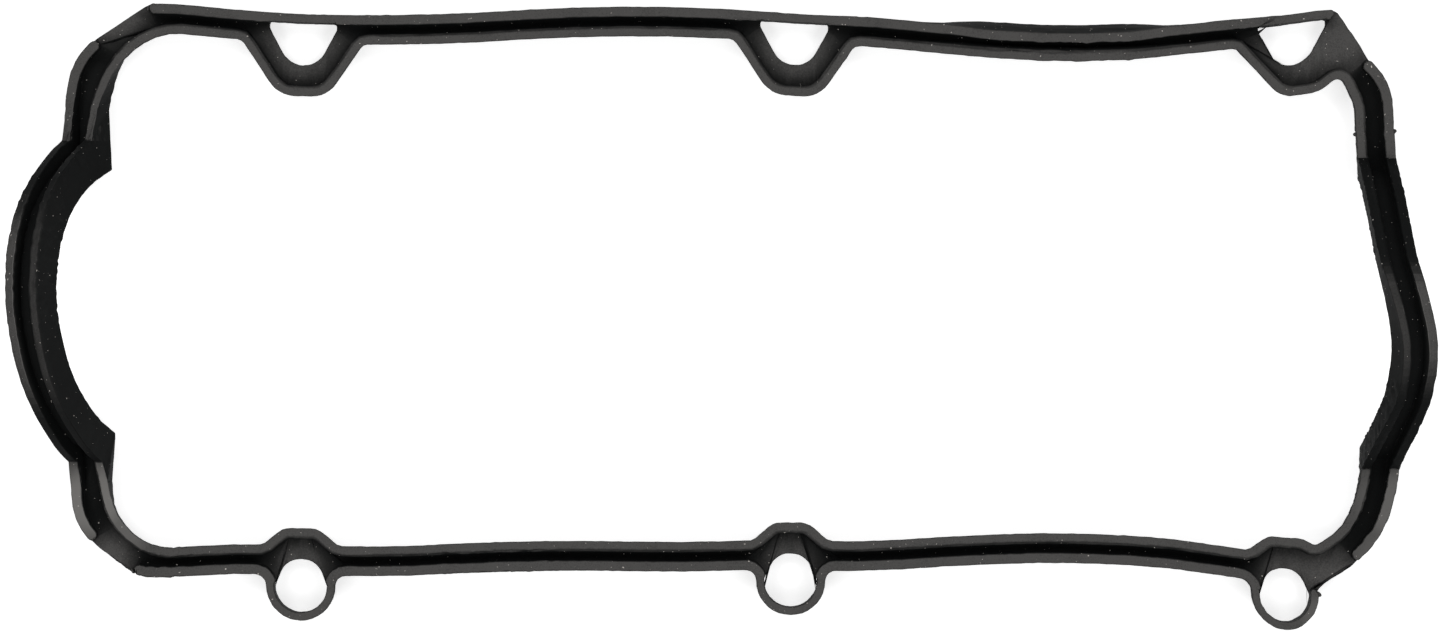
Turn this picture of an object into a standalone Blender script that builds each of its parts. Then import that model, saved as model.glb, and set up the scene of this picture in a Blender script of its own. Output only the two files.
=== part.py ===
# A valve cover gasket: one piece of moulded black rubber, lying free with its groove upwards.
# Two rails stand on a web, and the cover's rim presses into the groove between them. Two flat
# lands on the underside seal on the cylinder head. Both ends rise in an arch over a camshaft
# bearing cap, and lean outwards because nothing holds them. Three D-shaped openings and three
# round ones let the studs and their sleeves through.
# Lengths are in metres. X runs along the engine, Y across it and Z is up. The outline is
# walked clockwise, so that the inside of the frame lies on the right of each path.

import math

import bpy
from mathutils import Vector

# Section: widths, and heights above the surface that the gasket lies on
RAIL_HEIGHT = 0.0080
WEB_HEIGHT = 0.0042
OUTER_RAIL = 0.0029
INNER_RAIL = 0.0031
SIDE_GROOVE = 0.0026
END_GROOVE = 0.0051
LIP_ROUND = 0.0008
WALL_DRAFT = 0.0001
FOOT_INSET = 0.0005
LAND_WIDTH = 0.0021
LAND_HEIGHT = 0.0005

# Outer edges of the frame, at the tops of the rails
LEFT_END = -0.1895
RIGHT_END = 0.1953
TOP_SIDE = 0.0903
BOTTOM_SIDE = -0.0746

# Studs: three on each side, at these places along the engine
TOP_STUDS = [-0.1214, 0.0208, 0.1649]
BOTTOM_STUDS = [-0.1220, 0.0197, 0.1629]
STUD_HOLE_RADIUS = 0.00766

# D-shaped openings of the top side, with the loop of the inner rail around each
D_WIDTH = 0.0196
D_DEPTH = 0.0147
D_SHOULDER = 0.0017
D_FLOOR_WIDTH = 0.0082
D_CORNER = 0.0005
LOOP_MOUTH = 0.0350
LOOP_FLOOR_WIDTH = 0.0142
LOOP_DEPTH = 0.0238
LOOP_MOUTH_ROUND = 0.0025
LOOP_FLOOR_ROUND = 0.0087
RAIL_TRIM = 0.0003

# Round lugs of the bottom side, with the bump of the inner rail above each
LUG_OFFSET = 0.0032
LUG_WALL = 0.0023
DOME_HEIGHT = 0.0077
DOME_WIDTH = 0.0081
DOME_ROUND = 0.0060
DOME_SHOULDER = 0.0006
BUMP_BASE = 0.0220
BUMP_TOP = 0.0100
BUMP_HEIGHT = 0.0050
BUMP_TOP_ROUND = 0.0052
BUMP_BASE_ROUND = 0.0030

# Left corners, cut off slantwise: how far the cut reaches along the side and down the end, the
# rounding of the outer edge at the side and at the end, and that of the inner edge. Bare is the
# stretch of web where the outer rail stops, in shares of the cut from the end to the side.
TOP_LEFT = {
    "along": 0.0235, "down": 0.0155, "side_round": 0.0040, "end_round": 0.0200,
    "inner_round": 0.0220, "bare": (0.345, 1.0),
}
BOTTOM_LEFT = {
    "along": 0.0190, "down": 0.0142, "side_round": 0.0150, "end_round": 0.0190,
    "inner_round": 0.0185, "bare": (0.30, 0.94),
}

# Top right corner: the cut runs to the tip of the end's rail, which stands out beyond it. The
# last loop is narrower than the others and rises to a crest.
CUT_ALONG = 0.0178
CUT_ROUND = 0.0035
CUT_TIP = (0.0079, 0.0147)
CUT_TIP_ROUND = 0.0012
END_SHOULDER = 0.0220
END_SHOULDER_ROUND = 0.0170
LAST_LOOP = (0.0163, 0.0030, 0.0085)
LAST_CREST = (0.0157, 0.0192)
LAST_INNER_BEND = 0.0280
LAST_INNER_ROUND = 0.0100

# Bottom right corner, which runs into the last lug
END_BEND = 0.0185
END_BEND_ROUND = 0.0290
WEB_BEND = (0.0119, 0.0060)
WEB_BEND_ROUND = 0.0150
WEB_TIP_SHARE = 0.94
LUG_SHOULDER = (0.0019, 0.0003)
LUG_NECK = 0.0016
LUG_SHOULDER_ROUND = 0.0010
BOTTOM_RIGHT_INNER = 0.0190
BOTTOM_RIGHT_CREST = (0.0235, 0.0115)
BOTTOM_RIGHT_CREST_ROUND = 0.0020

# Arches: middle, half width and rise of each, at the tops of the rails, and its thickness
LEFT_ARCH = {"middle": 0.0045, "half": 0.0464, "rise": 0.0298, "thickness": 0.0108}
RIGHT_ARCH = {"middle": 0.0010, "half": 0.0449, "rise": 0.0268, "thickness": 0.0088}

# How the free gasket lies. The sides wander by so much (metres) at so great a share of the
# length, the ends wander in X at so great a Y, and each end leans out by an angle in degrees.
TOP_WANDER = [
    (0.04, 0.0003), (0.08, 0.0002), (0.12, -0.0012), (0.175, -0.0027), (0.25, -0.0030),
    (0.31, -0.0023), (0.37, -0.0010), (0.44, -0.0006), (0.50, -0.0014), (0.55, -0.0027),
    (0.61, -0.0038), (0.665, -0.0059), (0.72, -0.0076), (0.76, -0.0079), (0.79, -0.0077),
    (0.83, -0.0062), (0.87, -0.0045), (0.91, -0.0032), (0.95, -0.0014), (0.98, -0.0010),
]
BOTTOM_WANDER = [
    (0.05, -0.0006), (0.08, -0.0006), (0.12, 0.0003), (0.175, 0.0), (0.245, -0.0003),
    (0.31, 0.0008), (0.38, 0.0013), (0.46, 0.0010), (0.54, 0.0016), (0.60, 0.0012),
    (0.665, 0.0026), (0.74, 0.0036), (0.78, 0.0031), (0.815, 0.0025), (0.85, 0.0008),
    (0.87, -0.0003), (0.915, -0.0027), (0.95, -0.0030),
]
LEFT_WANDER = [
    (-0.050, 0.0013), (-0.042, 0.0003), (-0.033, 0.0008), (-0.020, 0.0014), (-0.008, 0.0009),
    (0.005, -0.0001), (0.023, -0.0007), (0.034, -0.0002), (0.043, -0.0003), (0.051, -0.0016),
    (0.058, -0.0011), (0.066, 0.0),
]
RIGHT_WANDER = [
    (-0.060, -0.0006), (-0.047, 0.0001), (-0.038, 0.0010), (-0.030, 0.0006), (-0.020, 0.0),
    (0.005, 0.0004), (0.018, 0.0006), (0.033, 0.0002), (0.046, -0.0006), (0.060, -0.0014),
    (0.070, -0.0011), (0.080, 0.0),
]
LEFT_LEAN = [
    (-0.055, 0.0), (-0.049, 7.0), (-0.046, 12.0), (-0.042, 23.0), (-0.033, 28.0),
    (-0.020, 32.0), (-0.008, 31.5), (0.005, 31.0), (0.023, 32.0), (0.034, 36.0),
    (0.043, 37.0), (0.051, 35.0), (0.058, 28.0), (0.063, 21.0), (0.069, 12.0), (0.075, 0.0),
]
RIGHT_LEAN = [
    (-0.052, 0.0), (-0.044, 3.0), (-0.038, 9.0), (-0.031, 17.0), (-0.024, 22.0),
    (-0.010, 21.0), (0.005, 13.5), (0.018, 6.0), (0.033, 2.5), (0.046, 0.5), (0.055, 0.0),
]
SIDE_BAND = (0.046, 0.060)
END_BAND = (0.150, 0.178)

# Fineness of the mesh
ARC_STEP = math.radians(11)
ARCH_STATIONS = 24
LONGEST_STEP = 0.014
SHORTEST_STEP = 0.0007
TIP_STEPS = (1.0, 0.6, 0.3, 0.1, 0.0)
TIP_WALL = 0.00005
BLUNT_TIP = 0.3
CUTTER_STEP = 0.004
CUTTER_OVERSHOOT = 0.004

SIDE_WIDTH = OUTER_RAIL + SIDE_GROOVE + INNER_RAIL
END_WIDTH = OUTER_RAIL + END_GROOVE + INNER_RAIL
LUG_RADIUS = STUD_HOLE_RADIUS + LUG_WALL
LOOP_REACH = LOOP_MOUTH / 2 + 2 * LOOP_MOUTH_ROUND
LUG_REACH = LUG_RADIUS + LUG_OFFSET + 2 * BUMP_BASE_ROUND


def smooth_value(knots, place):
    # The value at a place on a smooth line through the knots, level past the first and last
    if place <= knots[0][0]:
        return knots[0][1]
    if place >= knots[-1][0]:
        return knots[-1][1]
    index = max(i for i, knot in enumerate(knots) if knot[0] <= place)
    low, high = knots[index], knots[index + 1]
    before = knots[max(index - 1, 0)]
    after = knots[min(index + 2, len(knots) - 1)]
    run = high[0] - low[0]
    slope_low = (high[1] - before[1]) / (high[0] - before[0]) * run
    slope_high = (after[1] - low[1]) / (after[0] - low[0]) * run
    t = (place - low[0]) / run
    rise = 3 * t ** 2 - 2 * t ** 3
    return (low[1] * (1 - rise) + high[1] * rise
            + slope_low * (t ** 3 - 2 * t ** 2 + t) + slope_high * (t ** 3 - t ** 2))


def ramp(value, band):
    # 0 below the band, 1 above it and a smooth rise between
    t = min(max((value - band[0]) / (band[1] - band[0]), 0.0), 1.0)
    return 3 * t ** 2 - 2 * t ** 3


def settle(x, y):
    # Moves a point of the straight frame to where it lies in the free gasket
    share = (x - LEFT_END) / (RIGHT_END - LEFT_END)
    dy = smooth_value(TOP_WANDER, share) * ramp(y, SIDE_BAND)
    dy += smooth_value(BOTTOM_WANDER, share) * ramp(-y, SIDE_BAND)
    dx = smooth_value(LEFT_WANDER, y) * ramp(-x, END_BAND)
    dx += smooth_value(RIGHT_WANDER, y) * ramp(x, END_BAND)
    return x + dx, y + dy


def rounded(corners, closed=False):
    # Follows the corners, each (x, y, radius), with an arc in place of each one. Gives pairs of
    # a point and the direction there. A radius shrinks where its arc would not fit.
    places = [Vector(corner[:2]) for corner in corners]
    count = len(places)
    bends = range(count) if closed else range(1, count - 1)
    turns = [0.0] * count
    reaches = [0.0] * count
    for i in bends:
        arriving = places[i] - places[i - 1]
        leaving = places[(i + 1) % count] - places[i]
        turns[i] = math.atan2(arriving.cross(leaving), arriving.dot(leaving))
        reaches[i] = corners[i][2] * math.tan(abs(turns[i]) / 2)
    fits = [1.0] * count
    for i in range(count if closed else count - 1):
        j = (i + 1) % count
        run = (places[j] - places[i]).length
        if reaches[i] + reaches[j] > run:
            share = run / (reaches[i] + reaches[j])
            fits[i] = min(fits[i], share)
            fits[j] = min(fits[j], share)
    path = []
    if not closed:
        path.append((places[0], (places[1] - places[0]).normalized()))
    for i in bends:
        arriving = (places[i] - places[i - 1]).normalized()
        side = math.copysign(1.0, turns[i])
        radius = corners[i][2] * fits[i] * side
        start = places[i] - arriving * reaches[i] * fits[i]
        centre = start + Vector((-arriving.y, arriving.x)) * radius
        steps = max(2, math.ceil(abs(turns[i]) / ARC_STEP))
        for step in range(steps + 1):
            angle = turns[i] * step / steps
            ahead = Vector((arriving.x * math.cos(angle) - arriving.y * math.sin(angle),
                            arriving.x * math.sin(angle) + arriving.y * math.cos(angle)))
            path.append((centre - Vector((-ahead.y, ahead.x)) * radius, ahead))
    if not closed:
        path.append((places[-1], (places[-1] - places[-2]).normalized()))
    return path


def distances(path):
    # How far along the path each of its points lies
    far = [0.0]
    for (here, _), (after, _) in zip(path, path[1:]):
        far.append(far[-1] + (after - here).length)
    return far


def at_share(path, far, share):
    # The point and the direction at a share of the path's length
    goal = share * far[-1]
    index = max(i for i in range(len(far) - 1) if far[i] <= goal or i == 0)
    run = far[index + 1] - far[index]
    t = min(max((goal - far[index]) / run, 0.0), 1.0) if run > 0 else 0.0
    (low, low_ahead), (high, high_ahead) = path[index], path[index + 1]
    return low.lerp(high, t), low_ahead.lerp(high_ahead, t).normalized()


def nearest_share(path, far, place):
    # The share of the path's length at which it passes closest to a place
    best = None
    for index in range(len(path) - 1):
        here, after = path[index][0], path[index + 1][0]
        run = after - here
        if run.length == 0:
            continue
        t = min(max((place - here).dot(run) / run.length_squared, 0.0), 1.0)
        gap = (here + run * t - place).length
        if best is None or gap < best[0]:
            best = (gap, (far[index] + t * run.length) / far[-1])
    return best[1]


def shift_share(share, knots):
    # Carries a share of one edge over to the other, in even steps between the knots
    for (low, low_other), (high, high_other) in zip(knots, knots[1:]):
        if share <= high and high > low:
            return low_other + (high_other - low_other) * (share - low) / (high - low)
    return 1.0


def rail_share(place, bare):
    # How much of the outer rail's width stands at a place: all of it, less in a rounded tip,
    # and none on the bare web
    if not bare:
        return 1.0
    inset = max(bare[0] - place, place - bare[1])
    if inset < -TIP_WALL / 2:
        return 0.0
    part = min(max(inset, 0.0) / (OUTER_RAIL / 2), 1.0)
    return max(BLUNT_TIP, math.sqrt(1 - (1 - part) ** 2))


def matched_stations(outer, inner, tips, ties):
    # Pairs up the outer and inner edges of a stretch. Each pair is (outer point, its direction,
    # inner point, its direction, share of the outer rail). The outer rail is missing between its
    # two tips. They and the ties say which places face each other.
    outer_path, inner_path = rounded(outer), rounded(inner)
    outer_far, inner_far = distances(outer_path), distances(inner_path)
    length = outer_far[-1]
    knots = [(0.0, 0.0), (1.0, 1.0)]
    for outer_place, inner_place in ties:
        knots.append((nearest_share(outer_path, outer_far, Vector(outer_place)),
                      nearest_share(inner_path, inner_far, Vector(inner_place))))
    bare = []
    for tip in tips:
        share = nearest_share(outer_path, outer_far, Vector(tip))
        bare.append(share * length)
        tip_point, _ = at_share(outer_path, outer_far, share)
        knots.append((share, nearest_share(inner_path, inner_far, tip_point)))
    knots.sort()
    swapped = [(inner_share, outer_share) for outer_share, inner_share in knots]
    shares = {far / length for far in outer_far}
    shares |= {shift_share(far / inner_far[-1], swapped) for far in inner_far}
    fixed = {0.0, 1.0}
    if bare:
        for step in TIP_STEPS:
            fixed.add((bare[0] - step * OUTER_RAIL / 2) / length)
            fixed.add((bare[1] + step * OUTER_RAIL / 2) / length)
        fixed.add((bare[0] + TIP_WALL) / length)
        fixed.add((bare[1] - TIP_WALL) / length)
    nearest = SHORTEST_STEP / length
    kept = sorted(fixed | {s for s in shares if all(abs(s - f) > nearest for f in fixed)})
    spaced = [kept[0]]
    for share in kept[1:]:
        if share - spaced[-1] < nearest and share not in fixed:
            continue
        extra = math.ceil((share - spaced[-1]) * length / LONGEST_STEP)
        spaced += [spaced[-1] + (share - spaced[-1]) * i / extra for i in range(1, extra)]
        spaced.append(share)
    stations = []
    for share in spaced[:-1]:
        outer_point, outer_ahead = at_share(outer_path, outer_far, share)
        inner_point, inner_ahead = at_share(inner_path, inner_far, shift_share(share, knots))
        rail = rail_share(share * length, bare)
        stations.append((outer_point, outer_ahead, inner_point, inner_ahead, rail))
    return stations


def station_section(station):
    # The section at a station, as (x, y, height) points walked round it
    outer, outer_ahead, inner, inner_ahead, rail = station
    outer_in = Vector((outer_ahead.y, -outer_ahead.x))
    inner_in = Vector((inner_ahead.y, -inner_ahead.x))
    rail_top = RAIL_HEIGHT if rail > 0 else WEB_HEIGHT
    shown = max(rail, BLUNT_TIP)
    rail_from = OUTER_RAIL / 2 * (1 - shown)
    rail_to = OUTER_RAIL / 2 * (1 + shown)
    land = FOOT_INSET + LAND_WIDTH
    from_outer = [
        (land + LAND_HEIGHT, LAND_HEIGHT),
        (land, 0.0),
        (FOOT_INSET, 0.0),
        (0.0, WEB_HEIGHT),
        (rail_from, rail_top),
        (rail_to, rail_top),
        (rail_to + WALL_DRAFT, WEB_HEIGHT),
    ]
    from_inner = [
        (INNER_RAIL + WALL_DRAFT, WEB_HEIGHT),
        (INNER_RAIL, RAIL_HEIGHT - LIP_ROUND),
        (INNER_RAIL - LIP_ROUND, RAIL_HEIGHT),
        (0.0, RAIL_HEIGHT),
        (FOOT_INSET, 0.0),
        (land, 0.0),
        (land + LAND_HEIGHT, LAND_HEIGHT),
    ]
    section = []
    for depth, height in from_outer:
        place = outer + outer_in * depth
        section.append((place.x, place.y, height))
    for depth, height in from_inner:
        place = inner - inner_in * depth
        section.append((place.x, place.y, height))
    return section


def arch_sections(arch, edge, inward, upwards):
    # The sections over one arch, mitred at its feet and square to the arc between them
    middle, half, rise = arch["middle"], arch["half"], arch["rise"]
    radius = (half ** 2 + rise ** 2) / (2 * rise)
    spread = math.atan2(half, radius - rise)
    centre_z = RAIL_HEIGHT + rise - radius
    under_half = math.sqrt((radius - arch["thickness"]) ** 2 - centre_z ** 2)
    sections = []
    for step in range(ARCH_STATIONS + 1):
        angle = spread * (2 * step / ARCH_STATIONS - 1) * upwards
        ahead = Vector((0.0, upwards))
        outer = Vector((edge, 0.0))
        inner = Vector((edge + inward * END_WIDTH, 0.0))
        section = []
        for x, _, height in station_section((outer, ahead, inner, ahead, 1.0)):
            if step in (0, ARCH_STATIONS):
                drop = (RAIL_HEIGHT - height) / RAIL_HEIGHT
                y = middle + math.copysign(half - (half - under_half) * drop, angle)
                z = height
            else:
                drop = RAIL_HEIGHT - height
                if height < WEB_HEIGHT:
                    drop += arch["thickness"] - RAIL_HEIGHT
                y = middle + (radius - drop) * math.sin(angle)
                z = centre_z + (radius - drop) * math.cos(angle)
            section.append((x, y, z))
        sections.append(section)
    return sections


def lie_down(x, y, z):
    # Moves a point of the straight, upright gasket to where it lies in the free one
    x, y = settle(x, y)
    for edge, inward, wander, lean in ((LEFT_END, 1, LEFT_WANDER, LEFT_LEAN),
                                       (RIGHT_END, -1, RIGHT_WANDER, RIGHT_LEAN)):
        if abs(x) > END_BAND[0] and x * edge > 0:
            angle = math.radians(smooth_value(lean, y))
            foot = edge + smooth_value(wander, y)
            depth = (x - foot) * inward
            x = foot + inward * (depth * math.cos(angle) - (z - RAIL_HEIGHT) * math.sin(angle))
            z = z * math.cos(angle) + depth * math.sin(angle)
    return Vector((x, y, z))


def lug_ties(stud):
    # The two sides of a round lug face the middle of the bump above it
    middle = BOTTOM_SIDE - LUG_OFFSET
    bump = BOTTOM_SIDE + SIDE_WIDTH + BUMP_HEIGHT
    return [((stud + side * LUG_RADIUS, middle), (stud + side * BUMP_TOP / 4, bump))
            for side in (1, -1)]


def left_corner(corner, side, inner_side, foot, end):
    # A corner at the left end: its outer and inner edges from the foot of the arch to the
    # given place on the side, and the two tips of the outer rail
    way = math.copysign(1.0, side)
    inner_left = LEFT_END + END_WIDTH
    outer = [(LEFT_END, foot, 0),
             (LEFT_END, side - way * corner["down"], corner["end_round"]),
             (LEFT_END + corner["along"], side, corner["side_round"]),
             (end, side, 0)]
    inner = [(inner_left, foot, 0), (inner_left, inner_side, corner["inner_round"]),
             (end, inner_side, 0)]
    cut_start, cut_end = Vector(outer[1][:2]), Vector(outer[2][:2])
    return outer, inner, [cut_start.lerp(cut_end, share) for share in corner["bare"]]


def side_stretches():
    # The stretches of the frame between the two arches, each as (outer edge, inner edge, tips
    # of the outer rail, ties), in order: the top side from left to right, the bottom side from
    # right to left
    inner_right = RIGHT_END - END_WIDTH
    inner_top = TOP_SIDE - SIDE_WIDTH
    inner_bottom = BOTTOM_SIDE + SIDE_WIDTH
    loop_floor = TOP_SIDE - LOOP_DEPTH
    lug_bottom = BOTTOM_SIDE - LUG_OFFSET - LUG_RADIUS
    bump = inner_bottom + BUMP_HEIGHT
    right_top_foot = RIGHT_ARCH["middle"] + RIGHT_ARCH["half"]
    right_bottom_foot = RIGHT_ARCH["middle"] - RIGHT_ARCH["half"]
    top = []
    bottom = []

    # Top left corner, up to the first loop
    foot = LEFT_ARCH["middle"] + LEFT_ARCH["half"]
    outer, inner, tips = left_corner(TOP_LEFT, TOP_SIDE, inner_top, foot,
                                     TOP_STUDS[0] - LOOP_REACH)
    top.append((outer, inner, tips, []))

    # The loops, and the plain stretch after each of the first two
    for stud, after in zip(TOP_STUDS[:2], TOP_STUDS[1:]):
        left, right = stud - LOOP_REACH, stud + LOOP_REACH
        top.append((
            [(left, TOP_SIDE, 0), (right, TOP_SIDE, 0)],
            [(left, inner_top, 0),
             (stud - LOOP_MOUTH / 2, inner_top, LOOP_MOUTH_ROUND),
             (stud - LOOP_FLOOR_WIDTH / 2, loop_floor, LOOP_FLOOR_ROUND),
             (stud + LOOP_FLOOR_WIDTH / 2, loop_floor, LOOP_FLOOR_ROUND),
             (stud + LOOP_MOUTH / 2, inner_top, LOOP_MOUTH_ROUND),
             (right, inner_top, 0)],
            [], []))
        top.append((
            [(right, TOP_SIDE, 0), (after - LOOP_REACH, TOP_SIDE, 0)],
            [(right, inner_top, 0), (after - LOOP_REACH, inner_top, 0)],
            [], []))

    # The last loop runs into the corner, whose outer edge is cut off straight
    stud = TOP_STUDS[2]
    left = stud - LOOP_REACH
    mouth, floor_left, floor_right = LAST_LOOP
    outer = [(left, TOP_SIDE, 0), (RIGHT_END - CUT_ALONG, TOP_SIDE, CUT_ROUND),
             (RIGHT_END - CUT_TIP[0], TOP_SIDE - CUT_TIP[1], CUT_TIP_ROUND),
             (RIGHT_END, TOP_SIDE - END_SHOULDER, END_SHOULDER_ROUND),
             (RIGHT_END, right_top_foot, 0)]
    inner = [(left, inner_top, 0),
             (stud - mouth, inner_top, LOOP_MOUTH_ROUND),
             (stud - floor_left, loop_floor, LOOP_FLOOR_ROUND),
             (stud + floor_right, loop_floor, LOOP_FLOOR_ROUND),
             (RIGHT_END - LAST_CREST[0], TOP_SIDE - LAST_CREST[1], LOOP_MOUTH_ROUND),
             (inner_right, TOP_SIDE - LAST_INNER_BEND, LAST_INNER_ROUND),
             (inner_right, right_top_foot, 0)]
    top.append((outer, inner, [outer[1][:2], outer[2][:2]], []))

    # The bottom right corner runs into the last lug
    stud = BOTTOM_STUDS[2]
    lug_right = stud + LUG_RADIUS
    end_bend = (RIGHT_END, BOTTOM_SIDE + END_BEND)
    web_bend = (RIGHT_END - WEB_BEND[0], BOTTOM_SIDE + WEB_BEND[1])
    neck = (lug_right, BOTTOM_SIDE - LUG_NECK)
    outer = [(RIGHT_END, right_bottom_foot, 0),
             (*end_bend, END_BEND_ROUND),
             (*web_bend, WEB_BEND_ROUND),
             (lug_right + LUG_SHOULDER[0], BOTTOM_SIDE + LUG_SHOULDER[1], LUG_SHOULDER_ROUND),
             (*neck, LUG_SHOULDER_ROUND),
             (lug_right, lug_bottom, LUG_RADIUS),
             (stud - LUG_RADIUS, lug_bottom, LUG_RADIUS),
             (stud - LUG_RADIUS, BOTTOM_SIDE, LUG_OFFSET),
             (stud - LUG_REACH, BOTTOM_SIDE, 0)]
    inner = [(inner_right, right_bottom_foot, 0),
             (inner_right, BOTTOM_SIDE + END_BEND, BOTTOM_RIGHT_INNER),
             (RIGHT_END - BOTTOM_RIGHT_CREST[0], BOTTOM_SIDE + BOTTOM_RIGHT_CREST[1],
              BOTTOM_RIGHT_CREST_ROUND),
             (stud + BUMP_TOP / 2, bump, BUMP_TOP_ROUND),
             (stud - BUMP_TOP / 2, bump, BUMP_TOP_ROUND),
             (stud - BUMP_BASE / 2, inner_bottom, BUMP_BASE_ROUND),
             (stud - LUG_REACH, inner_bottom, 0)]
    rail_tip = Vector(end_bend).lerp(Vector(web_bend), WEB_TIP_SHARE)
    bottom.append((outer, inner, [rail_tip, neck], lug_ties(stud)))

    # The plain stretch before each of the other lugs, and the lugs
    for stud, before in zip(BOTTOM_STUDS[1::-1], BOTTOM_STUDS[:0:-1]):
        right, left = stud + LUG_REACH, stud - LUG_REACH
        bottom.append((
            [(before - LUG_REACH, BOTTOM_SIDE, 0), (right, BOTTOM_SIDE, 0)],
            [(before - LUG_REACH, inner_bottom, 0), (right, inner_bottom, 0)],
            [], []))
        bottom.append((
            [(right, BOTTOM_SIDE, 0),
             (stud + LUG_RADIUS, BOTTOM_SIDE, LUG_OFFSET),
             (stud + LUG_RADIUS, lug_bottom, LUG_RADIUS),
             (stud - LUG_RADIUS, lug_bottom, LUG_RADIUS),
             (stud - LUG_RADIUS, BOTTOM_SIDE, LUG_OFFSET),
             (left, BOTTOM_SIDE, 0)],
            [(right, inner_bottom, 0),
             (stud + BUMP_BASE / 2, inner_bottom, BUMP_BASE_ROUND),
             (stud + BUMP_TOP / 2, bump, BUMP_TOP_ROUND),
             (stud - BUMP_TOP / 2, bump, BUMP_TOP_ROUND),
             (stud - BUMP_BASE / 2, inner_bottom, BUMP_BASE_ROUND),
             (left, inner_bottom, 0)],
            [], lug_ties(stud)))

    # Bottom left corner, walked the other way
    foot = LEFT_ARCH["middle"] - LEFT_ARCH["half"]
    outer, inner, tips = left_corner(BOTTOM_LEFT, BOTTOM_SIDE, inner_bottom, foot,
                                     BOTTOM_STUDS[0] - LUG_REACH)
    bottom.append((outer[::-1], inner[::-1], tips[::-1], []))
    return top, bottom


def stretch_sections(stretches):
    sections = []
    for stretch in stretches:
        sections += [station_section(station) for station in matched_stations(*stretch)]
    return sections


def frame_sections():
    # All sections of the closed frame, clockwise from the bottom foot of the left arch
    top, bottom = side_stretches()
    left_arch = arch_sections(LEFT_ARCH, LEFT_END, 1, 1)
    right_arch = arch_sections(RIGHT_ARCH, RIGHT_END, -1, -1)
    top_side = stretch_sections(top)[1:]
    bottom_side = stretch_sections(bottom)[1:]
    return left_arch + top_side + right_arch + bottom_side


def new_object(name, points, faces):
    mesh = bpy.data.meshes.new(name)
    mesh.from_pydata([tuple(point) for point in points], [], faces)
    mesh.update()
    thing = bpy.data.objects.new(name, mesh)
    bpy.context.scene.collection.objects.link(thing)
    return thing


def d_outline(stud):
    # A D-shaped opening, whose straight edge trims the outer rail's inner wall
    edge = TOP_SIDE - OUTER_RAIL + RAIL_TRIM
    shoulder = edge - D_SHOULDER
    floor = TOP_SIDE - D_DEPTH
    return [(stud - D_WIDTH / 2, edge, D_CORNER),
            (stud + D_WIDTH / 2, edge, D_CORNER),
            (stud + D_WIDTH / 2, shoulder, D_SHOULDER),
            (stud + D_FLOOR_WIDTH / 2, floor, STUD_HOLE_RADIUS),
            (stud - D_FLOOR_WIDTH / 2, floor, STUD_HOLE_RADIUS),
            (stud - D_WIDTH / 2, shoulder, D_SHOULDER)]


def round_outline(stud):
    # A round opening, narrowed to a dome where it runs into the web
    middle = BOTTOM_SIDE - LUG_OFFSET
    radius = STUD_HOLE_RADIUS
    return [(stud - radius, middle - radius, radius),
            (stud - radius, middle + DOME_SHOULDER, DOME_SHOULDER),
            (stud - DOME_WIDTH / 2, middle + DOME_HEIGHT, DOME_ROUND),
            (stud + DOME_WIDTH / 2, middle + DOME_HEIGHT, DOME_ROUND),
            (stud + radius, middle + DOME_SHOULDER, DOME_SHOULDER),
            (stud + radius, middle - radius, radius)]


def fine_outline(corners):
    # The points of a closed outline, close enough together to follow the side as it lies
    path = [point for point, _ in rounded(corners, closed=True)]
    points = []
    for here, after in zip(path, path[1:] + path[:1]):
        run = (after - here).length
        if run < TIP_WALL:
            continue
        steps = math.ceil(run / CUTTER_STEP)
        points += [here.lerp(after, i / steps) for i in range(steps)]
    return points


def opening_cutter(shift):
    # One cutter for the six openings
    points = []
    faces = []
    outlines = [d_outline(stud) for stud in TOP_STUDS]
    outlines += [round_outline(stud) for stud in BOTTOM_STUDS]
    for corners in outlines:
        outline = [settle(point.x, point.y) for point in fine_outline(corners)]
        if sum(a[0] * b[1] - b[0] * a[1] for a, b in zip(outline, outline[1:])) < 0:
            outline.reverse()
        count = len(outline)
        first = len(points)
        points += [Vector((x, y, -CUTTER_OVERSHOOT)) + shift for x, y in outline]
        points += [Vector((x, y, RAIL_HEIGHT + CUTTER_OVERSHOOT)) + shift for x, y in outline]
        faces.append([first + i for i in reversed(range(count))])
        faces.append([first + count + i for i in range(count)])
        for i in range(count):
            j = (i + 1) % count
            faces.append([first + i, first + j, first + count + j, first + count + i])
    cutter = new_object("opening_cutter", points, faces)
    cutter.hide_render = True
    cutter.display_type = "WIRE"
    return cutter


def rubber():
    material = bpy.data.materials.new("black_rubber")
    material.use_nodes = True
    shader = material.node_tree.nodes["Principled BSDF"]
    shader.inputs["Base Color"].default_value = (0.012, 0.012, 0.013, 1.0)
    shader.inputs["Roughness"].default_value = 0.6
    shader.inputs["Metallic"].default_value = 0.0
    return material


def build_gasket():
    sections = [[lie_down(*point) for point in section] for section in frame_sections()]
    points = [point for section in sections for point in section]
    low = Vector([min(point[axis] for point in points) for axis in range(3)])
    high = Vector([max(point[axis] for point in points) for axis in range(3)])
    shift = Vector((-(low.x + high.x) / 2, -(low.y + high.y) / 2, -low.z))
    size = len(sections[0])
    faces = []
    for here in range(len(sections)):
        after = (here + 1) % len(sections)
        for i in range(size):
            j = (i + 1) % size
            faces.append([here * size + i, here * size + j, after * size + j, after * size + i])
    gasket = new_object("gasket", [point + shift for point in points], faces)
    gasket.data.materials.append(rubber())
    cut = gasket.modifiers.new("openings", "BOOLEAN")
    cut.operation = "DIFFERENCE"
    cut.solver = "EXACT"
    cut.object = opening_cutter(shift)
    return gasket


for thing in list(bpy.data.objects):
    bpy.data.objects.remove(thing)
build_gasket()
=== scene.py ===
# The looks of a valve cover gasket: one piece of moulded black rubber, lying free on a white
# table with its groove upwards. Lengths are in metres, colours are sRGB hex values.

import math

import bmesh
import bpy
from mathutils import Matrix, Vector
from mathutils.bvhtree import BVHTree
from mathutils.noise import noise


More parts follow.
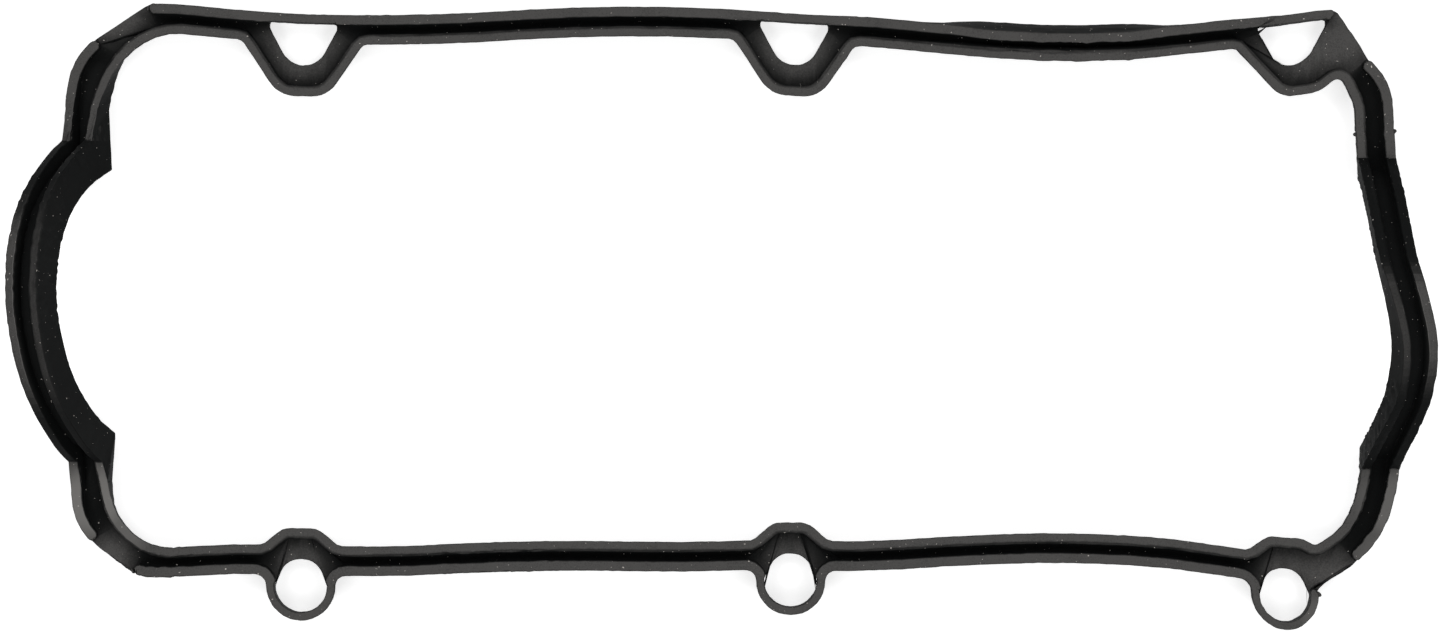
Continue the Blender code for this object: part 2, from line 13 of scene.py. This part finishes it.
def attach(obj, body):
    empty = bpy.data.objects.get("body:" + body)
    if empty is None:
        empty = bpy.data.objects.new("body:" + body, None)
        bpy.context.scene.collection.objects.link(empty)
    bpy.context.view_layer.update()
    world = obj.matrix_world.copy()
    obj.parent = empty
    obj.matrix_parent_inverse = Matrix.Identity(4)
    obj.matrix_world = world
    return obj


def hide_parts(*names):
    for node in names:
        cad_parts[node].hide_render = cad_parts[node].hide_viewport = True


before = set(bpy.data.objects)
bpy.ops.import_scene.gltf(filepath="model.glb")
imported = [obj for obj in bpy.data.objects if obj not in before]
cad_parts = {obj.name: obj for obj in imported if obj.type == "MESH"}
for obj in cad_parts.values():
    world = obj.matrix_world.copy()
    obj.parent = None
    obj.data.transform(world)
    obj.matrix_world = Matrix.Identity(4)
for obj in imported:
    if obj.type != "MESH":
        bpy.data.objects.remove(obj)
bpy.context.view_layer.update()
bpy.ops.object.select_all(action="DESELECT")
print("frame loaded")

# The photograph: 1445 by 634 pixels, taken from straight above. At the tops of the rails one
# pixel is 0.289 mm, and its middle lies at aim on the gasket.
photo = {
    "aim": (0.00026, -0.00007),
    "pixelsWide": 1445,
    "pixelsHigh": 634,
    "pixelSize": 0.000289,
    "railTop": 0.0080,
    "distance": 2.0,
    "nearest": 0.01,
    "farthest": 50.0,
}


def atPixel(px, py, height=photo["railTop"]):
    # Where a pixel of the photograph lies, at a height above the table
    reach = (photo["distance"] + photo["railTop"] - height) / photo["distance"]
    x = photo["aim"][0] + (px - photo["pixelsWide"] / 2) * photo["pixelSize"] * reach
    y = photo["aim"][1] + (photo["pixelsHigh"] / 2 - py) * photo["pixelSize"] * reach
    return Vector((x, y, height))


# Tools

def srgb(hexColour):
    # An sRGB hex colour as linear red, green, blue and alpha
    parts = [int(hexColour[i:i + 2], 16) / 255 for i in (1, 3, 5)]
    linear = [p / 12.92 if p <= 0.04045 else ((p + 0.055) / 1.055) ** 2.4 for p in parts]
    return (*linear, 1.0)


def addNode(tree, kind, settings=None, links=None):
    # A shader node. Settings go to its sockets or, failing that, its own properties, and
    # links join a socket of an earlier node to one of its sockets.
    node = tree.nodes.new(kind)
    for name, value in (settings or {}).items():
        if isinstance(name, str) and hasattr(node, name):
            setattr(node, name, value)
        else:
            node.inputs[name].default_value = value
    for name, socket in (links or {}).items():
        tree.links.new(socket, node.inputs[name])
    return node


def newMaterial(name):
    material = bpy.data.materials.new(name)
    material.use_nodes = True
    tree = material.node_tree
    tree.nodes.clear()
    return material, tree


def smoothStep(value, low, high):
    t = min(max((value - low) / (high - low), 0.0), 1.0)
    return t * t * (3 - 2 * t)


def window(value, knots):
    # 0 outside, a smooth rise between the first two knots, 1, and a smooth fall to the last
    rise, full, fade, end = knots
    return smoothStep(value, rise, full) * (1 - smoothStep(value, fade, end))


def onlySelect(thing):
    bpy.ops.object.select_all(action="DESELECT")
    thing.select_set(True)
    bpy.context.view_layer.objects.active = thing


def applyAll(thing):
    onlySelect(thing)
    for modifier in list(thing.modifiers):
        bpy.ops.object.modifier_apply(modifier=modifier.name)


# Camera, light and table

def setCamera():
    bpy.ops.object.camera_add(location=(*photo["aim"], photo["railTop"] + photo["distance"]))
    camera = bpy.context.object
    camera.name = "photoCamera"
    camera.rotation_euler = (0.0, 0.0, 0.0)
    shownWidth = photo["pixelsWide"] * photo["pixelSize"]
    camera.data.sensor_fit = "HORIZONTAL"
    camera.data.lens = camera.data.sensor_width * photo["distance"] / shownWidth
    camera.data.clip_start = photo["nearest"]
    camera.data.clip_end = photo["farthest"]
    bpy.context.scene.camera = camera


# Four large softboxes stand round the table, clear of the camera, so that no light falls
# straight down into the groove
lights = {
    "softboxes": 4,
    "firstAt": 45.0,
    "elevation": 42.0,
    "distance": 2.6,
    "size": 1.4,
    "power": 21.0,
    "skyColour": "#ffffff",
    "skyStrength": 0.20,
}


def setLights():
    elevation = math.radians(lights["elevation"])
    for index in range(lights["softboxes"]):
        around = math.radians(lights["firstAt"] + 360 * index / lights["softboxes"])
        way = Vector((math.cos(elevation) * math.cos(around),
                      math.cos(elevation) * math.sin(around), math.sin(elevation)))
        bpy.ops.object.light_add(type="AREA", location=way * lights["distance"])
        softbox = bpy.context.object
        softbox.name = f"softbox{index + 1}"
        softbox.rotation_euler = way.to_track_quat("Z", "Y").to_euler()
        softbox.data.shape = "SQUARE"
        softbox.data.size = lights["size"]
        softbox.data.energy = lights["power"]
    world = bpy.data.worlds.new("studioSky")
    bpy.context.scene.world = world
    world.use_nodes = True
    background = world.node_tree.nodes["Background"]
    background.inputs["Color"].default_value = srgb(lights["skyColour"])
    background.inputs["Strength"].default_value = lights["skyStrength"]
    bpy.context.scene.view_settings.view_transform = "Standard"


table = {
    "size": 8.0,
    "colour": "#e4e4e4",
    "glow": "#ffffff",
    "whiteness": 0.62,
}


def setTable():
    # A matte white table top. The camera sees it a little lifted, up to clean white.
    bpy.ops.mesh.primitive_plane_add(size=table["size"], location=(0.0, 0.0, 0.0))
    top = bpy.context.object
    top.name = "tableTop"
    material, tree = newMaterial("whiteTableTop")
    paper = addNode(tree, "ShaderNodeBsdfDiffuse", {"Color": srgb(table["colour"])})
    path = addNode(tree, "ShaderNodeLightPath")
    seen = addNode(tree, "ShaderNodeMath", {"operation": "MAXIMUM"},
                   {0: path.outputs["Is Camera Ray"], 1: path.outputs["Is Glossy Ray"]})
    through = addNode(tree, "ShaderNodeMath", {"operation": "MAXIMUM"},
                      {0: seen.outputs[0], 1: path.outputs["Is Transmission Ray"]})
    lift = addNode(tree, "ShaderNodeMath", {"operation": "MULTIPLY", 1: table["whiteness"]},
                   {0: through.outputs[0]})
    glow = addNode(tree, "ShaderNodeEmission", {"Color": srgb(table["glow"])},
                   {"Strength": lift.outputs[0]})
    both = addNode(tree, "ShaderNodeAddShader", None,
                   {0: paper.outputs[0], 1: glow.outputs[0]})
    addNode(tree, "ShaderNodeOutputMaterial", None, {"Surface": both.outputs[0]})
    top.data.materials.append(material)


# Moulded rubber

rubber = {
    "skin": "#151616",
    "bloomAndSheen": "#4d4c4b",
    "paleHighlight": "#908e8b",
    "dust": "#b9b4ae",
    "roughness": 0.60,
    "bloomRoughness": 0.85,
    "specular": 0.02,
    "refraction": 1.52,
    "grainSize": 0.45,
    "grainTones": (0.72, 1.28),
    "grainHeight": 0.00002,
    "cloudSize": 9.0,
    "cloudTones": (0.86, 1.12),
    "noiseSpan": (0.3, 0.7),
    "dustSize": 0.55,
    "dustFrom": 0.83,
    "dustFull": 0.88,
}


def mouldedRubber():
    # Compression moulded NBR rubber, filled with carbon black, with a dull deep black skin. Open
    # faces that look up carry a grey that is partly a bloom of wax and talc and partly painted sheen
    # of the light from above, with a fine grain and faint clouds. It is kept off the groove and
    # steep walls, which stay black as painted shade. The attribute is 0 on bare skin and 1 under
    # full grey, and above 1 the face turns paler, with a painted highlight streak and paler patches.
    # A few pale specks are dust.
    material, tree = newMaterial("mouldedBlackRubber")
    coordinates = addNode(tree, "ShaderNodeTexCoord")
    place = coordinates.outputs["Object"]
    bloomAndSheen = addNode(tree, "ShaderNodeAttribute", {"attribute_name": "bloomAndSheen"})
    grain = addNode(tree, "ShaderNodeTexNoise",
                    {"Scale": 1000 / rubber["grainSize"], "Detail": 3.0, "Roughness": 0.6},
                    {"Vector": place})
    cloud = addNode(tree, "ShaderNodeTexNoise",
                    {"Scale": 1000 / rubber["cloudSize"], "Detail": 4.0, "Roughness": 0.6},
                    {"Vector": place})
    least, most = rubber["noiseSpan"]
    darkest, lightest = rubber["grainTones"]
    speckle = addNode(tree, "ShaderNodeMapRange",
                      {"From Min": least, "From Max": most, "To Min": darkest, "To Max": lightest},
                      {"Value": grain.outputs["Fac"]})
    darkest, lightest = rubber["cloudTones"]
    patches = addNode(tree, "ShaderNodeMapRange",
                      {"From Min": least, "From Max": most, "To Min": darkest, "To Max": lightest},
                      {"Value": cloud.outputs["Fac"]})
    uneven = addNode(tree, "ShaderNodeMath", {"operation": "MULTIPLY"},
                     {0: speckle.outputs[0], 1: patches.outputs[0]})
    cover = addNode(tree, "ShaderNodeMath", {"operation": "MULTIPLY", "use_clamp": True},
                    {0: uneven.outputs[0], 1: bloomAndSheen.outputs["Fac"]})
    bloomAndSheenMix = addNode(tree, "ShaderNodeMix",
                     {"data_type": "RGBA", "clamp_factor": True,
                      6: srgb(rubber["skin"]), 7: srgb(rubber["bloomAndSheen"])},
                     {0: cover.outputs[0]})
    # Above 1 the grey turns to the paler colour: a painted highlight streak, and paler patches
    paler = addNode(tree, "ShaderNodeMapRange", {"From Min": 1.0, "From Max": 2.0},
                     {"Value": bloomAndSheen.outputs["Fac"]})
    paleHighlight = addNode(tree, "ShaderNodeMix",
                   {"data_type": "RGBA", "clamp_factor": True, 7: srgb(rubber["paleHighlight"])},
                   {0: paler.outputs[0], 6: bloomAndSheenMix.outputs[2]})
    specks = addNode(tree, "ShaderNodeTexNoise",
                     {"Scale": 1000 / rubber["dustSize"], "Detail": 0.0}, {"Vector": place})
    dust = addNode(tree, "ShaderNodeMapRange",
                   {"From Min": rubber["dustFrom"], "From Max": rubber["dustFull"]},
                   {"Value": specks.outputs["Fac"]})
    colour = addNode(tree, "ShaderNodeMix",
                     {"data_type": "RGBA", "clamp_factor": True, 7: srgb(rubber["dust"])},
                     {0: dust.outputs[0], 6: paleHighlight.outputs[2]})
    rough = addNode(tree, "ShaderNodeMapRange",
                    {"To Min": rubber["roughness"], "To Max": rubber["bloomRoughness"]},
                    {"Value": bloomAndSheen.outputs["Fac"]})
    bump = addNode(tree, "ShaderNodeBump",
                   {"Strength": 1.0, "Distance": rubber["grainHeight"]},
                   {"Height": grain.outputs["Fac"]})
    shader = addNode(tree, "ShaderNodeBsdfPrincipled",
                     {"IOR": rubber["refraction"], "Specular IOR Level": rubber["specular"]},
                     {"Base Color": colour.outputs[2], "Roughness": rough.outputs[0],
                      "Normal": bump.outputs[0]})
    addNode(tree, "ShaderNodeOutputMaterial", None, {"Surface": shader.outputs[0]})
    return material


# The moulded body: how its mesh is merged and cut finer, how uneven its faces are, and how its
# edges are rounded
gasket = {
    "mergeDistance": 0.00012,
    "flatWithin": math.radians(4),
    "shapeWithin": math.radians(80),
    "longestEdge": 0.0030,
    "cuttingRounds": 3,
    "uneven": 0.00014,
    "unevenLength": 0.0018,
    "noiseApart": 40.0,
    "edgeRound": 0.00020,
    "edgeSegments": 1,
    "furthest": 0.00025,
    "sharpFrom": math.radians(28),
}

# Where the arches stand: between two feet across the engine, and beyond one place along it.
# Their rails are grey only near the top, as painted sheen, and black down the steep flanks to the
# feet, as painted shade: where the grey starts, is full, fades and has gone. The inner rail gets
# less of it, as painted shade, and the outer rail has a painted highlight streak along the groove.
arches = {
    "left": {"from": atPixel(0, 462).y, "to": atPixel(0, 141).y,
             "archSheen": [atPixel(0, row).y for row in (428, 372, 240, 170)]},
    "right": {"from": atPixel(0, 468).y, "to": atPixel(0, 158).y,
              "archSheen": [atPixel(0, row).y for row in (405, 345, 292, 258)]},
    "beyond": 0.165,
    "step": 0.002,
    "footReach": 0.004,
    "footMerge": 0.00002,
    "innerRailFrom": 0.0068,
    "innerRailSheen": 0.50,
    "outerRailTo": 0.0035,
    "grooveSide": 0.12,
    "highlightStreak": 0.60,
}

# The top side rolls inwards between its second and last loops, so that its outer wall shows,
# and its outer rail sinks inwards a little
roll = {
    "along": [atPixel(column, 0).x for column in (905, 1000, 1120, 1200)],
    "lean": 0.42,
    "acrossFrom": 0.055,
    "acrossTo": 0.065,
    "sinkAlong": [atPixel(column, 0).x for column in (950, 992, 1130, 1178)],
    "sink": 0.0005,
    "sinkFrom": 0.0765,
    "sinkTo": 0.0810,
}

# Parts of the outline that the mould left ragged, as boxes of pixels: left, top, right, bottom
raggedParts = {
    "boxes": [(985, 40, 1130, 75), (1355, 125, 1445, 270), (1350, 380, 1445, 560),
              (60, 95, 100, 170), (0, 170, 70, 330), (440, 545, 560, 634), (90, 545, 190, 634)],
    "longestEdge": 0.0018,
    "size": 0.00032,
    "length": 0.0013,
    "secondNoise": 1.7,
}


def rollTopSide(point):
    # Moves a point of the top side with the roll
    if point.y < roll["acrossFrom"]:
        return
    lean = roll["lean"] * window(point.x, roll["along"])
    rolled = smoothStep(point.y, roll["acrossFrom"], roll["acrossTo"])
    point.y += lean * (photo["railTop"] - point.z) * rolled
    sunk = window(point.x, roll["sinkAlong"]) * smoothStep(point.y, roll["sinkFrom"], roll["sinkTo"])
    point.y -= roll["sink"] * sunk


def isRagged(point):
    for left, top, right, bottom in raggedParts["boxes"]:
        low, high = atPixel(left, bottom), atPixel(right, top)
        if low.x < point.x < high.x and low.y < point.y < high.y:
            return True
    return False


def cutFootLines(edit):
    # An edge along each foot of the arches, so that the painted sheen can turn to painted shade
    # there at once
    feet = [(-1, arches["left"]["to"]), (-1, arches["left"]["from"]),
            (1, arches["right"]["to"]), (1, arches["right"]["from"])]
    for side, foot in feet:
        faces = [face for face in edit.faces
                 if side * face.calc_center_median().x > arches["beyond"]
                 and abs(face.calc_center_median().y - foot) < arches["footReach"]]
        near = set(faces)
        near.update(edge for face in faces for edge in face.edges)
        near.update(vertex for face in faces for vertex in face.verts)
        bmesh.ops.bisect_plane(edit, geom=list(near), dist=arches["footMerge"],
                               plane_co=(0.0, foot, 0.0), plane_no=(0.0, 1.0, 0.0))


def cutFiner(mesh):
    # Long edges are cut in half, a few rounds over, and shorter ones where the outline is ragged
    for _ in range(gasket["cuttingRounds"]):
        bpy.ops.mesh.select_all(action="DESELECT")
        edit = bmesh.from_edit_mesh(mesh)
        for edge in edit.edges:
            ragged = isRagged((edge.verts[0].co + edge.verts[1].co) / 2)
            longest = raggedParts["longestEdge"] if ragged else gasket["longestEdge"]
            if edge.calc_length() > longest:
                edge.select = True
        edit.select_flush_mode()
        bmesh.update_edit_mesh(mesh)
        bpy.ops.mesh.subdivide(number_cuts=1)


def makeUneven(vertex):
    # The small unevenness of a moulded face, and the larger one of a ragged outline
    place = vertex.co / gasket["unevenLength"]
    apart = gasket["noiseApart"]
    shift = [noise(place + Vector((0.0, 0.0, apart * axis))) for axis in range(3)]
    if isRagged(vertex.co):
        along = noise(vertex.co / raggedParts["length"])
        across = noise(place * raggedParts["secondNoise"])
        vertex.co += Vector((along, across, 0.0)) * raggedParts["size"]
    vertex.co += Vector(shift) * gasket["uneven"]


def buildGasket(node):
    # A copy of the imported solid, with rounded edges and the small unevenness of its moulding
    mesh = node.data.copy()
    body = bpy.data.objects.new("moulded_gasket", mesh)
    bpy.context.scene.collection.objects.link(body)
    mesh.materials.clear()
    onlySelect(body)
    bpy.ops.object.mode_set(mode="EDIT")
    bpy.ops.mesh.select_all(action="SELECT")
    bpy.ops.mesh.remove_doubles(threshold=gasket["mergeDistance"])
    bpy.ops.mesh.tris_convert_to_quads(face_threshold=gasket["flatWithin"],
                                       shape_threshold=gasket["shapeWithin"])
    cutFiner(mesh)
    cutFootLines(bmesh.from_edit_mesh(mesh))
    bmesh.update_edit_mesh(mesh)
    bpy.ops.object.mode_set(mode="OBJECT")
    for vertex in mesh.vertices:
        rollTopSide(vertex.co)
    for vertex in mesh.vertices:
        makeUneven(vertex)
    unrounded = BVHTree.FromPolygons([vertex.co.copy() for vertex in mesh.vertices],
                                     [list(face.vertices) for face in mesh.polygons])
    rounding = body.modifiers.new("edgeRound", "BEVEL")
    rounding.width = gasket["edgeRound"]
    rounding.segments = gasket["edgeSegments"]
    rounding.limit_method = "ANGLE"
    rounding.angle_limit = gasket["sharpFrom"]
    rounding.use_clamp_overlap = False
    applyAll(body)
    # A few corners of the rounding land too far out, and go back to the unrounded surface
    for vertex in body.data.vertices:
        nearest, _, _, far = unrounded.find_nearest(vertex.co)
        if far > gasket["furthest"]:
            vertex.co = nearest
    bpy.ops.object.shade_smooth_by_angle(angle=gasket["sharpFrom"])
    evenly = body.modifiers.new("evenNormals", "WEIGHTED_NORMAL")
    evenly.keep_sharp = True
    applyAll(body)
    return body


# Where the grey lies, partly bloom and partly painted sheen, and where it is left out as painted
# shade. Faces steeper than steepFrom and places with less open sky than hiddenFrom have none, and
# those past steepTo and hiddenTo are fully covered.
shelter = {
    "rays": 60,
    "reach": 0.0075,
    "lift": 0.00015,
    "steepFrom": 0.52,
    "steepTo": 0.90,
    "hiddenFrom": 0.44,
    "hiddenTo": 0.96,
    "smoothings": 3,
    "smoothedFrom": 0.5,
    "leastArea": 1e-12,
    "railFrom": 0.0076,
}

# The grey is made paler round these pixels: column, row, radius and how much
palerPatches = [(92, 500, 48, 0.42), (118, 530, 40, 0.20), (1395, 505, 45, 0.22),
                 (1385, 560, 40, 0.10), (1318, 615, 22, 0.12)]
palerCore = 0.4


def archEdges(mesh):
    # How far out each arch reaches, in steps across the engine
    edges = {}
    for vertex in mesh.vertices:
        if abs(vertex.co.x) > arches["beyond"]:
            key = (vertex.co.x > 0, round(vertex.co.y / arches["step"]))
            edges[key] = max(edges.get(key, 0.0), abs(vertex.co.x))
    return edges


def onArch(place):
    # Whether a place lies between the feet of an arch
    arch = arches["right"] if place.x > 0 else arches["left"]
    return abs(place.x) > arches["beyond"] and arch["from"] < place.y < arch["to"]


def archTone(place, normal, edges):
    # How much grey an arch carries at a place as painted sheen, with painted shade on the steep feet
    # and the inner rail, and how strong a painted highlight streak lies there
    arch = arches["right"] if place.x > 0 else arches["left"]
    if not onArch(place):
        return 1.0, 0.0
    archSheen = window(place.y, arch["archSheen"])
    inwards = edges.get((place.x > 0, round(place.y / arches["step"])), 0.0) - abs(place.x)
    # The inner rail gets less grey: painted shade
    if inwards > arches["innerRailFrom"]:
        return archSheen * arches["innerRailSheen"], 0.0
    # A painted highlight along the groove side of the outer rail
    facesGroove = -normal.x * math.copysign(1.0, place.x) > arches["grooveSide"]
    highlightStreak = arches["highlightStreak"] if facesGroove and inwards < arches["outerRailTo"] else 0.0
    return archSheen, archSheen * highlightStreak


def palerAt(place):
    # How much paler a place is made, full in the core of a patch and fading to its edge
    lighter = 0.0
    for column, row, radius, amount in palerPatches:
        away = (place.xy - atPixel(column, row).xy).length / (radius * photo["pixelSize"])
        lighter = max(lighter, amount * (1 - smoothStep(away, palerCore, 1.0)))
    return lighter


def skyShare(tree, place, normal, directions):
    # The share of the directions above a place that nothing of the gasket blocks nearby
    start = place + normal * shelter["lift"]
    free = 0
    for direction in directions:
        way = direction if direction.dot(normal) > 0 else -direction
        if tree.ray_cast(start, way, shelter["reach"])[0] is None:
            free += 1
    return free / len(directions)


def upDirections():
    # Directions spread evenly over the upper half of a ball, along a spiral
    directions = []
    for ray in range(shelter["rays"]):
        height = (ray + 0.5) / shelter["rays"]
        angle = ray * math.pi * (3 - math.sqrt(5))
        flat = math.sqrt(1 - height ** 2)
        directions.append(Vector((flat * math.cos(angle), flat * math.sin(angle), height)))
    return directions


def facingUp(normal):
    # Faces that look up take the grey as painted sheen of the light from above; steep ones stay dark
    # as painted shade
    return smoothStep(normal.z, shelter["steepFrom"], shelter["steepTo"])


def vertexFacing(mesh):
    # How far the faces round each vertex look up, weighed by their areas
    values = [0.0] * len(mesh.vertices)
    weights = [0.0] * len(mesh.vertices)
    for face in mesh.polygons:
        up = facingUp(face.normal)
        for index in face.vertices:
            values[index] += up * face.area
            weights[index] += face.area
    return [value / max(weight, shelter["leastArea"]) for value, weight in zip(values, weights)]


def openSky(body, ups):
    # How open each vertex that looks up lies, evened out between such neighbours
    mesh = body.data
    tree = BVHTree.FromObject(body, bpy.context.evaluated_depsgraph_get())
    directions = upDirections()
    skies = [0.0] * len(mesh.vertices)
    for vertex in mesh.vertices:
        if ups[vertex.index] > 0:
            sky = skyShare(tree, vertex.co, vertex.normal, directions)
            skies[vertex.index] = smoothStep(sky, shelter["hiddenFrom"], shelter["hiddenTo"])
    for _ in range(shelter["smoothings"]):
        sums = list(skies)
        counts = [1] * len(skies)
        for edge in mesh.edges:
            first, second = edge.vertices
            if min(ups[first], ups[second]) > shelter["smoothedFrom"]:
                sums[first] += skies[second]
                sums[second] += skies[first]
                counts[first] += 1
                counts[second] += 1
        skies = [total / count for total, count in zip(sums, counts)]
    return skies


def markBloomAndSheen(body):
    # The grey lies on open faces that look up, partly as bloom and partly as painted sheen, and not
    # on steep walls or in the groove, which stay black as painted shade
    mesh = body.data
    edges = archEdges(mesh)
    ups = vertexFacing(mesh)
    # Sheltered places in the groove and pockets lose the grey: painted shade
    skies = openSky(body, ups)
    bloomAndSheen = mesh.attributes.new("bloomAndSheen", "FLOAT", "CORNER")
    for face in mesh.polygons:
        archSheen, highlightStreak = archTone(face.center, face.normal, edges)
        facing = facingUp(face.normal)
        onEndRail = abs(face.center.x) > arches["beyond"] and not onArch(face.center)
        onEndRail = onEndRail and face.center.z > shelter["railFrom"]
        for corner, index in zip(face.loop_indices, face.vertices):
            up = facing if onEndRail else ups[index] * skies[index]
            paler = palerAt(mesh.vertices[index].co)
            bloomAndSheen.data[corner].value = up * (archSheen + highlightStreak + paler * archSheen)


# Flash that the mould left on the outline. Each bit has its pixel, its half length and half
# width in pixels, and the way it points in degrees.
flash = {
    "bits": [(148.0, 8.0, 3.6, 1.6, 75.0), (1394.6, 131.0, 3.4, 2.8, 0.0),
             (1357.0, 134.0, 2.6, 2.2, 180.0), (1318.5, 594.5, 5.0, 2.8, -25.0),
             (1316.0, 598.0, 4.2, 3.6, 60.0), (132.0, 571.0, 3.4, 1.5, -70.0)],
    "bottom": 0.0030,
    "top": 0.0074,
    "topShare": 0.72,
    "corners": 10,
    "edgeRound": 0.00012,
    "sharpFrom": math.radians(60),
    # The flash carries grey all over: partly bloom, partly painted sheen
    "bloomAndSheen": 0.75,
}


def buildFlash():
    # Small thin lumps of rubber, drawn up from a flat outline and narrowed towards the top
    bits = []
    pixel = photo["pixelSize"]
    height = flash["top"] - flash["bottom"]
    for column, row, length, width, turn in flash["bits"]:
        bpy.ops.mesh.primitive_circle_add(vertices=flash["corners"], radius=1.0, fill_type="NGON")
        bit = bpy.context.object
        bpy.ops.object.mode_set(mode="EDIT")
        bpy.ops.mesh.select_all(action="SELECT")
        bpy.ops.mesh.extrude_region_move(TRANSFORM_OT_translate={"value": (0.0, 0.0, height)})
        bpy.ops.transform.resize(value=(flash["topShare"], flash["topShare"], 1.0))
        bpy.ops.mesh.select_all(action="SELECT")
        bpy.ops.mesh.normals_make_consistent(inside=False)
        bpy.ops.object.mode_set(mode="OBJECT")
        bit.scale = (length * pixel, width * pixel, 1.0)
        bit.rotation_euler = (0.0, 0.0, math.radians(turn))
        bit.location = (*atPixel(column, row).xy, flash["bottom"])
        bpy.ops.object.transform_apply(location=True, rotation=True, scale=True)
        bits.append(bit)
    bpy.ops.object.select_all(action="DESELECT")
    for bit in bits:
        bit.select_set(True)
    bpy.context.view_layer.objects.active = bits[0]
    bpy.ops.object.join()
    lumps = bpy.context.object
    lumps.name = "moulding_flash"
    bpy.context.scene.cursor.location = (0.0, 0.0, 0.0)
    bpy.ops.object.origin_set(type="ORIGIN_CURSOR")
    rounding = lumps.modifiers.new("edgeRound", "BEVEL")
    rounding.width = flash["edgeRound"]
    rounding.segments = 1
    rounding.limit_method = "ANGLE"
    rounding.angle_limit = flash["sharpFrom"]
    applyAll(lumps)
    bloomAndSheen = lumps.data.attributes.new("bloomAndSheen", "FLOAT", "CORNER")
    for corner in bloomAndSheen.data:
        corner.value = flash["bloomAndSheen"]
    return lumps


setCamera()
setLights()
setTable()
print("camera, light and table made")

rubberMaterial = mouldedRubber()
body = buildGasket(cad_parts["gasket"])
body.data.materials.append(rubberMaterial)
print("gasket shaped:", len(body.data.polygons), "faces")
markBloomAndSheen(body)
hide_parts("gasket")
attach(body, "root")
print("gasket finished")

lumps = buildFlash()
lumps.data.materials.append(rubberMaterial)
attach(lumps, "root")
print("moulding flash finished")
